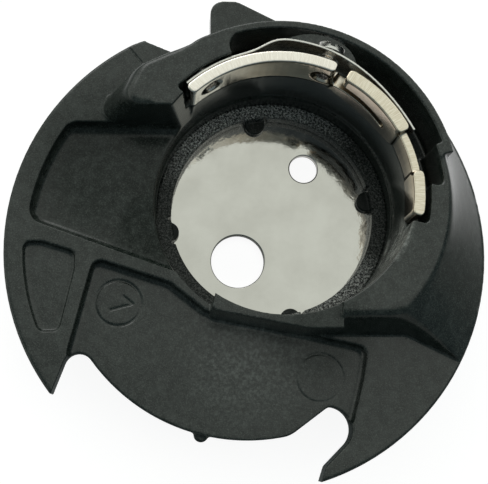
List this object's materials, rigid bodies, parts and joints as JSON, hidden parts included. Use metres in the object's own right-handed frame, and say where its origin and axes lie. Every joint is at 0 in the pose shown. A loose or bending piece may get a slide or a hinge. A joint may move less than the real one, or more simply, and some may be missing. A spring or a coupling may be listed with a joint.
{
  "type": "bobbin case",
  "caption": "Drop-in bobbin case of a sewing machine: round well in a running rim with horns, steel base plate, curved tension plate with a leaf spring and slotted screws.",
  "frame": {"origin": "on the axis of the bobbin well, at the underside of the base plate", "axes": "+Z along the well's axis, out of its mouth; X and Y in the plane of the running rim, +Y towards the stop lug, +X to the right in the picture"},
  "size_m": [0.0428, 0.0437, 0.0125],
  "materials": {
    "case_plastic": "fine satin grain",
    "ring_plastic": "rough grain",
    "polished_steel": "polished",
    "nickel_plate": "brushed nickel plating",
    "spring_steel": "bright",
    "screw_steel": "bright plated"
  },
  "bodies": {
    "case": {"case_body": "case_plastic", "base_ring": "ring_plastic", "base_plate": "polished_steel", "tension_plate": "nickel_plate", "fixing_screw": "screw_steel"},
    "spring": {"tension_spring": "spring_steel"},
    "screw": {"tension_screw": "screw_steel"}
  },
  "joints": [
    {"name": "tension_screw_turn", "type": "hinge", "parent": "case", "child": "screw", "pos_m": [0.00443, 0.01286, 0.0104], "axis": [0.3256, 0.9455, 0], "range_deg": [-180, 180]},
    {"name": "spring_flex", "type": "hinge", "parent": "case", "child": "spring", "pos_m": [-0.00844, 0.00922, 0.0106], "axis": [0, 0, 1], "range_deg": [0, 1], "stiffness_Nm_per_rad": 0.3}
  ]
}
